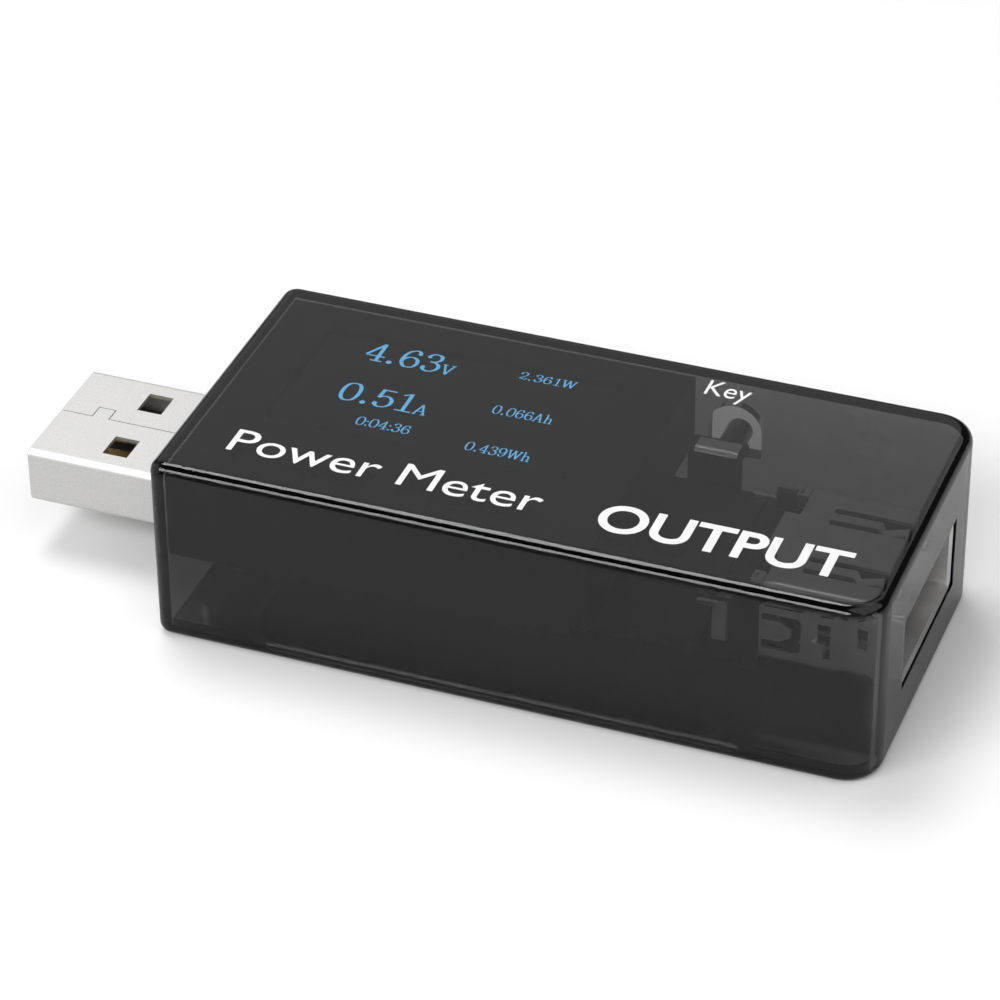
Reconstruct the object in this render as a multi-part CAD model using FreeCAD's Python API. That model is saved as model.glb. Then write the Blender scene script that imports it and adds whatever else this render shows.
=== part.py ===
import FreeCAD, Part
import os

# Plug-in power meter: a smoked case with a standard A plug at one end and an A socket at
# the other, an OLED display under the top wall and a push key behind a window at the back.
#
# Frame, in millimetres: +X runs from the plug to the socket, +Y towards the side with the
# key and +Z up. The origin is on the underside, halfway along the whole length with the
# plug, and halfway across the case.

# ---------------------------------------------------------------- driving dimensions
CASE_LENGTH = 55.0
CASE_WIDTH = 26.6
CASE_HEIGHT = 15.1
PLUG_REACH = 13.5
SIDE_WALL = 1.2
PLUG_END_WALL = 1.1
SOCKET_END_WALL = 1.0
TOP_WALL = 1.2
COVER_THICKNESS = 1.2
TOP_EDGE_R = 1.0
BOTTOM_EDGE_R = 0.8
PLUG_CORNER_R = 1.2
SOCKET_CORNER_R = 2.9
SOCKET_INNER_CORNER_R = 1.6

PLUG_WIDTH = 12.0
PLUG_HEIGHT = 4.5
PLUG_LENGTH = 18.8
PLUG_Y = 0.15
PLUG_Z = 6.2
SOCKET_WIDTH = 13.1
SOCKET_HEIGHT = 5.7
SOCKET_Y = 0.47
SOCKET_Z = 6.98
SOCKET_WINDOW_WIDTH = 13.6
SOCKET_WINDOW_HEIGHT = 6.0
SHEET = 0.3
CONTACT_OFFSETS = (-3.5, -1.0, 1.0, 3.5)
CONTACT_WIDTH = 1.0
STRIP = 0.15

BOARD_TOP = 8.0
BOARD_THICKNESS = 1.0
BOARD_FRONT_Y = -10.5
BOARD_WIDE_BACK_Y = 10.8
BOARD_NARROW_BACK_Y = 7.2
BOARD_STEP_X = 11.5

KEY_X = 15.75
KEY_Z = 8.85
KEY_R = 1.0
KEY_PROUD = 0.4
KEY_TRAVEL = 0.25
KEY_WINDOW_WIDTH = 4.25
KEY_WINDOW_SILL = 7.55
KEY_WINDOW_ARC_Z = 9.72

HOLDER_TOP = 13.8
HOLDER_PLATE = 0.4
HOLDER_WALL = 1.0
VIEW_LENGTH = 23.7
VIEW_WIDTH = 13.05
VIEW_X = -3.75
VIEW_Y = 2.725

# ---------------------------------------------------------------- derived places
LENGTH = CASE_LENGTH + PLUG_REACH
PLUG_TIP_X = -LENGTH / 2
CASE_X0 = PLUG_TIP_X + PLUG_REACH
CASE_X1 = LENGTH / 2
SIDE_Y = CASE_WIDTH / 2
INNER_X0 = CASE_X0 + PLUG_END_WALL
INNER_X1 = CASE_X1 - SOCKET_END_WALL
INNER_Y = SIDE_Y - SIDE_WALL
CEILING = CASE_HEIGHT - TOP_WALL
BOARD_BOTTOM = BOARD_TOP - BOARD_THICKNESS
PLUG_REAR_X = PLUG_TIP_X + PLUG_LENGTH
PLUG_BOTTOM = PLUG_Z - PLUG_HEIGHT / 2
PLUG_TOP = PLUG_Z + PLUG_HEIGHT / 2
SOCKET_MOUTH_X = CASE_X1 - 0.15
SOCKET_REAR_X = SOCKET_MOUTH_X - 10.45
SOCKET_BOTTOM = SOCKET_Z - SOCKET_HEIGHT / 2
SOCKET_TOP = SOCKET_Z + SOCKET_HEIGHT / 2
BOARD_X0 = INNER_X0 + 1.15
BOARD_X1 = 20.05
HOLDER_X0 = INNER_X0 + 0.1
HOLDER_X1 = 12.65
HOLDER_Y = INNER_Y - 0.1
PLATE_BOTTOM = HOLDER_TOP - HOLDER_PLATE

os.makedirs("parts", exist_ok=True)


# ---------------------------------------------------------------- helpers
def box(x0, x1, y0, y1, z0, z1):
    """A block between two corners."""
    return Part.makeBox(x1 - x0, y1 - y0, z1 - z0, FreeCAD.Vector(x0, y0, z0))


def centred_box(x0, x1, y, width, z0, z1):
    """A block centred on y."""
    return box(x0, x1, y - width / 2, y + width / 2, z0, z1)


def rod(radius, start, end):
    """A round bar from one point to another."""
    a = FreeCAD.Vector(*start)
    along = FreeCAD.Vector(*end) - a
    return Part.makeCylinder(radius, along.Length, a, along)


def joined(shapes):
    """One solid from overlapping or touching shapes."""
    whole = shapes[0]
    for shape in shapes[1:]:
        whole = whole.fuse(shape)
    return whole.removeSplitter()


def cut_all(shape, tools):
    """The shape with every tool taken out of it."""
    for tool in tools:
        shape = shape.cut(tool)
    return shape


def fillet(shape, radius, chosen):
    """Rounds the edges that chosen says yes to."""
    return shape.makeFillet(radius, [e for e in shape.Edges if chosen(e)])


def runs_along(edge, axis):
    """True for a straight edge along the named axis."""
    size = edge.BoundBox
    lengths = {"x": size.XLength, "y": size.YLength, "z": size.ZLength}
    others = sum(length for name, length in lengths.items() if name != axis)
    return lengths[axis] > 1e-6 and others < 1e-6


def at_level(edge, level):
    """True for an edge that lies in the plane z = level."""
    size = edge.BoundBox
    return abs(size.ZMin - level) < 1e-6 and abs(size.ZMax - level) < 1e-6


def side_profile(points, y0, y1):
    """A prism along Y whose outline in X and Z is given."""
    corners = [FreeCAD.Vector(x, y0, z) for x, z in points]
    face = Part.Face(Part.makePolygon(corners + corners[:1]))
    return face.extrude(FreeCAD.Vector(0, y1 - y0, 0))


def end_profile(points, x0, x1):
    """A prism along X whose outline in Y and Z is given."""
    corners = [FreeCAD.Vector(x0, y, z) for y, z in points]
    face = Part.Face(Part.makePolygon(corners + corners[:1]))
    return face.extrude(FreeCAD.Vector(x1 - x0, 0, 0))


def rounded_bar(x0, x1, y, z, width, height, radius):
    """A bar along X with its four long edges rounded."""
    bar = centred_box(x0, x1, y, width, z - height / 2, z + height / 2)
    return fillet(bar, radius, lambda e: runs_along(e, "x"))


def strip_along(path, thickness, y, width):
    """A bent strip of sheet: path is its lower outline in X and Z, left to right, and each
    point names the side on which the sheet's other face is, as an offset."""
    upper = [(x + dx * thickness, z + dz * thickness) for x, z, dx, dz in path]
    lower = [(x, z) for x, z, _, _ in path]
    return side_profile(lower + upper[::-1], y - width / 2, y + width / 2)


def export(name, shape):
    """Writes one node: a solid, or a group of separate solids."""
    solids = shape if isinstance(shape, list) else [shape]
    found = [s for item in solids for s in item.Solids]
    assert all(s.isValid() for s in found), name
    result = found[0] if len(found) == 1 else Part.makeCompound(found)
    result.exportStep("parts/" + name + ".step")


# ---------------------------------------------------------------- case
def key_window():
    """The arched window in the back wall that the key reaches through: flat sill, round top."""
    half = KEY_WINDOW_WIDTH / 2
    y0 = INNER_Y - 1
    y1 = SIDE_Y + 1
    lower = box(KEY_X - half, KEY_X + half, y0, y1, KEY_WINDOW_SILL, KEY_WINDOW_ARC_Z)
    arch = rod(half, (KEY_X, y0, KEY_WINDOW_ARC_Z), (KEY_X, y1, KEY_WINDOW_ARC_Z))
    return joined([lower, arch])


COVER_GAP = 0.05
BEAD_X0 = -12.0
BEAD_X1 = 24.0
BEAD_Z0 = 0.45
BEAD_Z1 = 0.75
BEAD_PROUD = 0.2


def upper_housing():
    """The case's top and four walls in one moulding, open underneath for the bottom cover."""
    body = box(CASE_X0, CASE_X1, -SIDE_Y, SIDE_Y, 0, CASE_HEIGHT)
    middle_x = (CASE_X0 + CASE_X1) / 2
    body = fillet(body, PLUG_CORNER_R,
                  lambda e: runs_along(e, "z") and e.BoundBox.XMax < middle_x)
    body = fillet(body, SOCKET_CORNER_R,
                  lambda e: runs_along(e, "z") and e.BoundBox.XMin > middle_x)
    body = fillet(body, TOP_EDGE_R, lambda e: at_level(e, CASE_HEIGHT))
    body = fillet(body, BOTTOM_EDGE_R, lambda e: at_level(e, 0))
    cavity = box(INNER_X0, INNER_X1, -INNER_Y, INNER_Y, -1, CEILING)
    cavity = fillet(cavity, SOCKET_INNER_CORNER_R,
                    lambda e: runs_along(e, "z") and e.BoundBox.XMin > middle_x)
    plug_hole = rounded_bar(CASE_X0 - 1, INNER_X0 + 1, PLUG_Y, PLUG_Z,
                            PLUG_WIDTH + 0.2, PLUG_HEIGHT + 0.2, 0.5)
    socket_hole = centred_box(INNER_X1 - 1, CASE_X1 + 1, SOCKET_Y, SOCKET_WINDOW_WIDTH,
                              SOCKET_Z - SOCKET_WINDOW_HEIGHT / 2,
                              SOCKET_Z + SOCKET_WINDOW_HEIGHT / 2)
    groove_y = INNER_Y + BEAD_PROUD + COVER_GAP
    grooves = box(BEAD_X0 - 0.1, BEAD_X1 + 0.1, -groove_y, groove_y,
                  BEAD_Z0 - 0.05, BEAD_Z1 + 0.05)
    return cut_all(body, [cavity, plug_hole, socket_hole, key_window(), grooves])


POST_R = 1.5
POST_PLACES = ((-12.0, 8.6), (8.5, 8.6), (-12.0, -0.8), (8.5, -0.8))


def bottom_cover():
    """The snap-in bottom plate, with long beads at its sides and posts under the board."""
    x0 = INNER_X0 + COVER_GAP
    x1 = INNER_X1 - COVER_GAP
    edge_y = INNER_Y - COVER_GAP
    plate = box(x0, x1, -edge_y, edge_y, 0, COVER_THICKNESS)
    plate = fillet(plate, SOCKET_INNER_CORNER_R,
                   lambda e: runs_along(e, "z") and e.BoundBox.XMin > 0)
    bead_y = edge_y + BEAD_PROUD
    mid_z = (BEAD_Z0 + BEAD_Z1) / 2
    bead = end_profile([(-edge_y, BEAD_Z0), (-bead_y, mid_z), (-edge_y, BEAD_Z1),
                        (edge_y, BEAD_Z1), (bead_y, mid_z), (edge_y, BEAD_Z0)],
                       BEAD_X0, BEAD_X1)
    parts = [plate, bead]
    for x, y in POST_PLACES:
        parts.append(rod(POST_R, (x, y, COVER_THICKNESS - 0.2), (x, y, BOARD_BOTTOM)))
    cover = joined(parts)
    pry_notch = rod(1.6, (x1 - 0.2, 0, -0.5), (x1 - 0.2, 0, 0.5))
    return cover.cut(pry_notch)


# ---------------------------------------------------------------- board
PLUG_NOTCH_X = PLUG_REAR_X + 0.3
PEG_R = 0.4
PEG_XS = (HOLDER_X0 + HOLDER_WALL + 0.75, HOLDER_X1 - HOLDER_WALL - 0.75)
PEG_YS = (-9.3, 9.3)


def main_board():
    """The circuit board: notched round the plug, narrower beside the key."""
    wide = box(BOARD_X0, BOARD_STEP_X, BOARD_FRONT_Y, BOARD_WIDE_BACK_Y,
               BOARD_BOTTOM, BOARD_TOP)
    narrow = box(BOARD_STEP_X - 1, BOARD_X1, BOARD_FRONT_Y, BOARD_NARROW_BACK_Y,
                 BOARD_BOTTOM, BOARD_TOP)
    board = joined([wide, narrow])
    notch = centred_box(BOARD_X0 - 1, PLUG_NOTCH_X, PLUG_Y, PLUG_WIDTH + 0.3, 0, 12)
    holes = [rod(PEG_R + 0.05, (x, y, 0), (x, y, 12)) for x in PEG_XS for y in PEG_YS]
    return cut_all(board, [notch] + holes)


# ---------------------------------------------------------------- plug
LATCH_HOLE_REACH = 5.5
LATCH_HOLE_LENGTH = 2.0
LATCH_HOLE_WIDTH = 2.4
LATCH_HOLE_OFFSET = 3.12
SEAM_GAP = 0.08
SEAM_TAB_REACH = 2.65
SEAM_TAB_LENGTH = 1.38
SEAM_TAB_WIDTH = 1.3


def plug_shell():
    """The plug's folded sheet shell: latch holes, the folded seam on top and solder wings."""
    outer = rounded_bar(PLUG_TIP_X, PLUG_REAR_X, PLUG_Y, PLUG_Z,
                        PLUG_WIDTH, PLUG_HEIGHT, 0.5)
    outer = outer.makeChamfer(0.12, [e for e in outer.Edges
                                     if e.BoundBox.XMax < PLUG_TIP_X + 1e-6])
    inner = rounded_bar(PLUG_TIP_X - 1, PLUG_REAR_X + 1, PLUG_Y, PLUG_Z,
                        PLUG_WIDTH - 2 * SHEET, PLUG_HEIGHT - 2 * SHEET, 0.2)
    shell = outer.cut(inner)
    hole_x0 = PLUG_TIP_X + LATCH_HOLE_REACH
    latch_holes = [centred_box(hole_x0, hole_x0 + LATCH_HOLE_LENGTH,
                               PLUG_Y + side * LATCH_HOLE_OFFSET, LATCH_HOLE_WIDTH,
                               PLUG_BOTTOM - 1, PLUG_TOP + 1) for side in (-1, 1)]
    half = SEAM_GAP / 2
    top0 = PLUG_TOP - SHEET - 0.1
    top1 = PLUG_TOP + 0.1
    tab_x0 = PLUG_TIP_X + SEAM_TAB_REACH
    tab_x1 = tab_x0 + SEAM_TAB_LENGTH
    tab_y = PLUG_Y + SEAM_TAB_WIDTH
    seam = [
        box(PLUG_TIP_X - 1, tab_x0 + half, PLUG_Y - half, PLUG_Y + half, top0, top1),
        box(tab_x0 - half, tab_x0 + half, PLUG_Y - half, tab_y + half, top0, top1),
        box(tab_x0 - half, tab_x1 + half, tab_y - half, tab_y + half, top0, top1),
        box(tab_x1 - half, tab_x1 + half, PLUG_Y - half, tab_y + half, top0, top1),
        box(tab_x1 - half, PLUG_REAR_X + 1, PLUG_Y - half, PLUG_Y + half, top0, top1),
    ]
    shell = cut_all(shell, latch_holes + seam)
    wing_x0 = BOARD_X0 + 0.4
    wings = []
    for side in (-1, 1):
        root = PLUG_Y + side * (PLUG_WIDTH / 2 - SHEET)
        tip = root + side * 1.7
        wings.append(box(wing_x0, wing_x0 + 2.0, min(root, tip), max(root, tip),
                         BOARD_TOP, BOARD_TOP + 0.25))
    return joined([shell] + wings)


PLUG_TONGUE_TOP = PLUG_Z - 0.05


def plug_contact(offset):
    """One plug contact: a flat blade on the tongue, rising at the rear to sit on the board."""
    reach = 1.5 if abs(offset) > 2 else 2.5
    blade_x0 = PLUG_TIP_X + reach
    rise_x = PLUG_REAR_X - 1.6
    foot_x1 = PLUG_NOTCH_X + 1.6
    blade_z = PLUG_TONGUE_TOP - STRIP + 0.05
    path = [(blade_x0, blade_z, 0, 1), (rise_x, blade_z, -1, 1),
            (rise_x, BOARD_TOP, -1, 1), (foot_x1, BOARD_TOP, 0, 1)]
    return strip_along(path, STRIP, PLUG_Y + offset, CONTACT_WIDTH)


def plug_insulator(contacts):
    """The plug's moulded tongue, low in the shell, and the block that holds the contacts."""
    width = PLUG_WIDTH - 2 * SHEET - 0.06
    floor = PLUG_BOTTOM + SHEET + 0.02
    roof = PLUG_TOP - SHEET - 0.02
    tongue = centred_box(PLUG_TIP_X + 0.5, PLUG_REAR_X - 0.2, PLUG_Y, width - 0.5,
                         floor, PLUG_TONGUE_TOP)
    tongue = fillet(tongue, 0.3,
                    lambda e: runs_along(e, "y") and e.BoundBox.XMax < PLUG_TIP_X + 1)
    block = centred_box(PLUG_TIP_X + 11.6, PLUG_REAR_X - 0.2, PLUG_Y, width - 0.5,
                        floor, roof)
    return cut_all(joined([tongue, block]), contacts)


# ---------------------------------------------------------------- socket
FINGER_OFFSETS = (-3.2, 3.2)
FINGER_WIDTH = 0.9
FINGER_SLOT = 0.6
FINGER_SLOT_R = 0.28
FINGER_ROOT_X = 25.85
TOP_FINGER_TIP_X = 32.05
BOTTOM_FINGER_TIP_X = 30.95
FINGER_DIP = 0.6
FINGER_RISE_LENGTH = 2.2
SIDE_HOLE_X = (23.8, 26.75)
SIDE_HOLE_Z = (5.4, 8.4)
SIDE_SLOT_X = (27.95, 28.95)
SIDE_SLOT_Z = (5.5, 8.4)
STOP_SLOT_X = (30.35, 31.65)
STOP_SLOT_Z = (6.9, 8.6)
SIDE_BARB_X = (27.65, 28.5)
SIDE_BARB_Z = (5.5, 6.9)
SIDE_BARB_PROUD = 0.3
LEAD_IN = 0.2
REAR_TAB_WIDTH = 5.3
EAR_OFFSET = 5.55
EAR_WIDTH = 1.1
FLANGE_BOTTOM = 8.6


def spring_finger(offset, level, into, tip_x):
    """A spring finger cut from the shell's top or bottom: flat, then bent sharply inwards,
    then sloping back to the shell's level at its tip."""
    y = SOCKET_Y + offset
    dip_x = tip_x - FINGER_RISE_LENGTH
    path = [(FINGER_ROOT_X - 0.2, level, 0, into), (dip_x - 0.3, level, -0.6, into),
            (dip_x, level + FINGER_DIP * into, -0.3, into), (tip_x, level, 0, into)]
    return strip_along(path, SHEET, y, FINGER_WIDTH)


def finger_slot(offset, level, end_x):
    """The opening round a finger: narrow at its sides, and ending beyond its tip."""
    y = SOCKET_Y + offset
    width = FINGER_WIDTH + 2 * FINGER_SLOT
    slot = centred_box(FINGER_ROOT_X, end_x, y, width,
                       level - SHEET - 0.1, level + SHEET + 0.1)
    root = [e for e in slot.Edges
            if runs_along(e, "z") and e.BoundBox.XMax < FINGER_ROOT_X + 0.1]
    slot = slot.makeFillet(FINGER_SLOT_R, root)
    return slot


def side_cuts(y0, y1):
    """The stamped openings in one side of the shell: a U round a side spring, and two slots."""
    hole_x0, hole_x1 = SIDE_HOLE_X
    hole = box(hole_x0, hole_x1, y0, y1, *SIDE_HOLE_Z)
    hole = fillet(hole, 0.4, lambda e: runs_along(e, "y") and e.BoundBox.XMin > hole_x0 + 1)
    spring_z0 = SIDE_HOLE_Z[0] + 0.75
    spring_z1 = SIDE_HOLE_Z[1] - 0.55
    spring = side_profile([(hole_x0 - 0.5, spring_z0), (hole_x1 - 1.55, spring_z0),
                           (hole_x1 - 0.75, spring_z0 + 0.55),
                           (hole_x1 - 0.75, spring_z1 - 0.45),
                           (hole_x1 - 1.45, spring_z1), (hole_x0 - 0.5, spring_z1)], y0, y1)
    side_slot = box(*SIDE_SLOT_X, y0, y1, *SIDE_SLOT_Z)
    stop_slot = box(*STOP_SLOT_X, y0, y1, *STOP_SLOT_Z)
    return [hole.cut(spring), side_slot, stop_slot]


def rear_flanges():
    """The short walls folded down from the rear tab's two edges and from each ear's inner
    edge."""
    x0 = SOCKET_REAR_X - 1.0
    x1 = SOCKET_REAR_X - 0.2
    inner = REAR_TAB_WIDTH / 2 - SHEET / 2
    outer = EAR_OFFSET - EAR_WIDTH / 2 + SHEET / 2
    return [centred_box(x0, x1, SOCKET_Y + offset, SHEET, FLANGE_BOTTOM, SOCKET_TOP)
            for offset in (-outer, -inner, inner, outer)]


def socket_shell():
    """The socket's folded shell with its spring fingers, stamped sides and rear ears."""
    outer = rounded_bar(SOCKET_REAR_X, SOCKET_MOUTH_X, SOCKET_Y, SOCKET_Z,
                        SOCKET_WIDTH, SOCKET_HEIGHT, 0.7)
    inner = rounded_bar(SOCKET_REAR_X - 1, SOCKET_MOUTH_X + 1, SOCKET_Y, SOCKET_Z,
                        SOCKET_WIDTH - 2 * SHEET, SOCKET_HEIGHT - 2 * SHEET, 0.4)
    lead_in = rounded_bar(SOCKET_MOUTH_X - LEAD_IN, SOCKET_MOUTH_X + 1, SOCKET_Y, SOCKET_Z,
                          SOCKET_WIDTH - 2 * SHEET + 2 * LEAD_IN,
                          SOCKET_HEIGHT - 2 * SHEET + 2 * LEAD_IN, 0.4 + LEAD_IN)
    lead_in = lead_in.makeChamfer(LEAD_IN - 0.001, [e for e in lead_in.Edges
                                  if e.BoundBox.XMax < SOCKET_MOUTH_X - LEAD_IN + 1e-6])
    shell = cut_all(outer, [inner, lead_in])
    side = SOCKET_WIDTH / 2
    cuts = side_cuts(SOCKET_Y - side - 0.5, SOCKET_Y - side + 1)
    cuts += side_cuts(SOCKET_Y + side - 1, SOCKET_Y + side + 0.5)
    for offset in FINGER_OFFSETS:
        cuts.append(finger_slot(offset, SOCKET_TOP, SOCKET_MOUTH_X + 1))
        cuts.append(finger_slot(offset, SOCKET_BOTTOM, BOTTOM_FINGER_TIP_X + 0.3))
    shell = cut_all(shell, cuts)
    parts = [shell]
    for offset in FINGER_OFFSETS:
        parts.append(spring_finger(offset, SOCKET_TOP, -1, TOP_FINGER_TIP_X))
        parts.append(spring_finger(offset, SOCKET_BOTTOM, 1, BOTTOM_FINGER_TIP_X))
    top0 = SOCKET_TOP - SHEET
    parts.append(centred_box(SOCKET_REAR_X - 1.15, SOCKET_REAR_X + 0.5, SOCKET_Y,
                             REAR_TAB_WIDTH, top0, SOCKET_TOP))
    parts += rear_flanges()
    for direction in (-1, 1):
        y = SOCKET_Y + direction * EAR_OFFSET
        parts.append(centred_box(SOCKET_REAR_X - 1.0, SOCKET_REAR_X + 0.5, y, EAR_WIDTH,
                                 top0, SOCKET_TOP))
        flank = SOCKET_Y + direction * (side - SHEET / 2)
        barb_y = flank + direction * SIDE_BARB_PROUD
        parts.append(centred_box(*SIDE_BARB_X, (flank + barb_y) / 2,
                                 SHEET + SIDE_BARB_PROUD, *SIDE_BARB_Z))
    shell = joined(parts)
    for direction in (-1, 1):
        y = SOCKET_Y + direction * EAR_OFFSET
        shell = shell.cut(centred_box(SOCKET_REAR_X - 0.8, SOCKET_REAR_X - 0.6, y, 0.6,
                                      top0 - 0.1, SOCKET_TOP + 1))
        shell = shell.cut(centred_box(SOCKET_REAR_X - 0.12, SOCKET_REAR_X + 0.02, y,
                                      EAR_WIDTH + 0.1, SOCKET_TOP - 0.2, SOCKET_TOP + 1))
    return shell


TONGUE_Z0 = 7.05
TONGUE_Z1 = 8.85
TONGUE_X1 = 32.0
BLOCK_X0 = BOARD_X1 + 0.05
BLOCK_BOTTOM = 3.1
REAR_LEDGE_X = 22.3
NOTCH_FLOOR = 8.4
BLOCK_WIDTH = 12.3
TONGUE_WIDTH = 11.1


def socket_contact(offset):
    """One socket contact: under the tongue, sprung down near its tip, with a rear foot on
    the underside of the board."""
    y = SOCKET_Y + offset
    under = TONGUE_Z0 - STRIP
    foot = BOARD_BOTTOM - STRIP
    path = [(BOARD_X1 - 1.4, foot, 0, 1), (BOARD_X1 + 0.3, foot, 0, 1),
            (BOARD_X1 + 0.8, under, 0, 1), (TONGUE_X1 - 3.4, under, 0, 1),
            (TONGUE_X1 - 2.2, under - 0.6, 0, 1), (TONGUE_X1 - 1.0, under, 0, 1),
            (TONGUE_X1 - 0.6, under, 0, 1)]
    return strip_along(path, STRIP, y, CONTACT_WIDTH)


def socket_insulator(contacts):
    """The socket's moulding: rear block, side cheeks and the tongue that carries contacts."""
    width = BLOCK_WIDTH
    lower = centred_box(BLOCK_X0, SOCKET_REAR_X - 0.02, SOCKET_Y, width,
                        BLOCK_BOTTOM, BOARD_TOP - 0.1)
    lower = fillet(lower, 0.3, lambda e: at_level(e, BLOCK_BOTTOM) and runs_along(e, "y"))
    upper = centred_box(REAR_LEDGE_X, SOCKET_REAR_X - 0.02, SOCKET_Y, width,
                        BOARD_TOP - 0.5, SOCKET_TOP - SHEET - 0.02)
    filler = rounded_bar(SOCKET_REAR_X - 0.5, SOCKET_REAR_X + 1.4, SOCKET_Y, SOCKET_Z,
                         width, SOCKET_HEIGHT - 2 * SHEET - 0.1, 0.45)
    tongue = centred_box(SOCKET_REAR_X, TONGUE_X1, SOCKET_Y, TONGUE_WIDTH,
                         TONGUE_Z0, TONGUE_Z1)
    tongue = fillet(tongue, 0.35,
                    lambda e: runs_along(e, "y") and e.BoundBox.XMin > TONGUE_X1 - 0.1)
    parts = [lower, upper, filler, tongue]
    notches = []
    ear_inside = EAR_OFFSET - EAR_WIDTH / 2
    tab_side = REAR_TAB_WIDTH / 2
    cheek_top = SOCKET_TOP - SHEET - 0.02
    for direction in (-1, 1):
        y = SOCKET_Y + direction * (width / 2 - 0.3)
        cheek = centred_box(REAR_LEDGE_X - 1.35, REAR_LEDGE_X + 0.2, y, 0.6,
                            BOARD_TOP - 0.5, cheek_top)
        parts.append(fillet(cheek, 0.28, lambda e: runs_along(e, "x")
                            and at_level(e, cheek_top)))
        middle = SOCKET_Y + direction * (ear_inside + tab_side) / 2
        notches.append(centred_box(REAR_LEDGE_X - 1, SOCKET_REAR_X - 0.02, middle,
                                   ear_inside - tab_side, NOTCH_FLOOR, SOCKET_TOP))
    return cut_all(joined(parts), contacts + notches + rear_flanges())


def socket_board_locks():
    """Two stamped clips, one on each flank of the socket's block, with feet on the board."""
    locks = []
    for direction in (-1, 1):
        y = SOCKET_Y + direction * (BLOCK_WIDTH + SHEET) / 2
        plate = centred_box(BOARD_X1 + 0.05, BOARD_X1 + 1.15, y, SHEET, 5.1, BOARD_TOP + SHEET)
        foot = centred_box(BOARD_X1 - 1.1, BOARD_X1 + 0.2, y, SHEET, BOARD_TOP,
                           BOARD_TOP + SHEET)
        locks.append(joined([plate, foot]))
    return locks


# ---------------------------------------------------------------- display
def display_holder():
    """The black frame over the board: a window plate on four walls, located by pegs."""
    outer = box(HOLDER_X0, HOLDER_X1, -HOLDER_Y, HOLDER_Y, BOARD_BOTTOM, HOLDER_TOP)
    inner = box(HOLDER_X0 + HOLDER_WALL, HOLDER_X1 - HOLDER_WALL,
                -HOLDER_Y + HOLDER_WALL, HOLDER_Y - HOLDER_WALL,
                BOARD_BOTTOM - 1, PLATE_BOTTOM)
    window = centred_box(VIEW_X - VIEW_LENGTH / 2, VIEW_X + VIEW_LENGTH / 2, VIEW_Y,
                         VIEW_WIDTH, PLATE_BOTTOM - 1, HOLDER_TOP + 1)
    board_gap = box(HOLDER_X1 - HOLDER_WALL - 0.2, HOLDER_X1 + 1, -HOLDER_Y - 1,
                    HOLDER_Y + 1, 0, BOARD_TOP)
    plug_gap = centred_box(HOLDER_X0 - 1, HOLDER_X0 + HOLDER_WALL + 0.2, PLUG_Y,
                           PLUG_WIDTH + 0.4, 0, PLUG_TOP + 0.2)
    frame = cut_all(outer, [inner, window, board_gap, plug_gap])
    parts = [frame]
    for x in PEG_XS:
        for y in PEG_YS:
            towards_wall = -1 if x < 0 else 1
            near = x - towards_wall * 0.6
            far = x + towards_wall * 0.95
            parts.append(box(min(near, far), max(near, far), y - 0.9, y + 0.9,
                             BOARD_TOP, PLATE_BOTTOM + 0.2))
            parts.append(rod(PEG_R, (x, y, BOARD_BOTTOM), (x, y, BOARD_TOP + 0.3)))
    return joined(parts)


GLASS_LENGTH = 26.7
GLASS_WIDTH = 19.26
GLASS_X0 = VIEW_X - GLASS_LENGTH / 2
GLASS_Y1 = VIEW_Y + VIEW_WIDTH / 2 + 1.2
GLASS_Y0 = GLASS_Y1 - GLASS_WIDTH
TAPE = 0.1
FILM = 0.2
FILM_GAP = 0.1
GLASS_TOP = PLATE_BOTTOM - TAPE
SUBSTRATE = 0.5
CAP = 0.5
LEDGE = 4.6
CAP_TOP = GLASS_TOP - SUBSTRATE


def display_parts():
    """The OLED panel: front glass, rear glass cap, polariser film, driver chip and tape."""
    x1 = GLASS_X0 + GLASS_LENGTH
    glass = box(GLASS_X0, x1, GLASS_Y0, GLASS_Y1, CAP_TOP, GLASS_TOP)
    cap = box(GLASS_X0 + 0.3, x1 - 0.3, GLASS_Y0 + LEDGE, GLASS_Y1 - 0.3,
              CAP_TOP - CAP, CAP_TOP)
    film = centred_box(VIEW_X - VIEW_LENGTH / 2 + FILM_GAP,
                       VIEW_X + VIEW_LENGTH / 2 - FILM_GAP,
                       VIEW_Y, VIEW_WIDTH - 2 * FILM_GAP, GLASS_TOP, GLASS_TOP + FILM)
    chip = centred_box(VIEW_X - 4.2, VIEW_X + 4.2, GLASS_Y0 + LEDGE - 1.2, 1.0,
                       CAP_TOP - 0.3, CAP_TOP)
    tape = box(GLASS_X0 + 0.2, x1 - 0.2, GLASS_Y0 + 0.2, GLASS_Y1 - 0.2,
               GLASS_TOP, PLATE_BOTTOM)
    tape = tape.cut(centred_box(VIEW_X - VIEW_LENGTH / 2 - 0.4,
                                VIEW_X + VIEW_LENGTH / 2 + 0.4, VIEW_Y,
                                VIEW_WIDTH + 0.8, 0, 20))
    return {"oled_front_glass": glass, "oled_rear_glass": cap, "oled_polariser": film,
            "oled_driver_chip": chip, "display_tape": tape}


FLEX = 0.12
FLEX_WIDTH = 12.0


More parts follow.
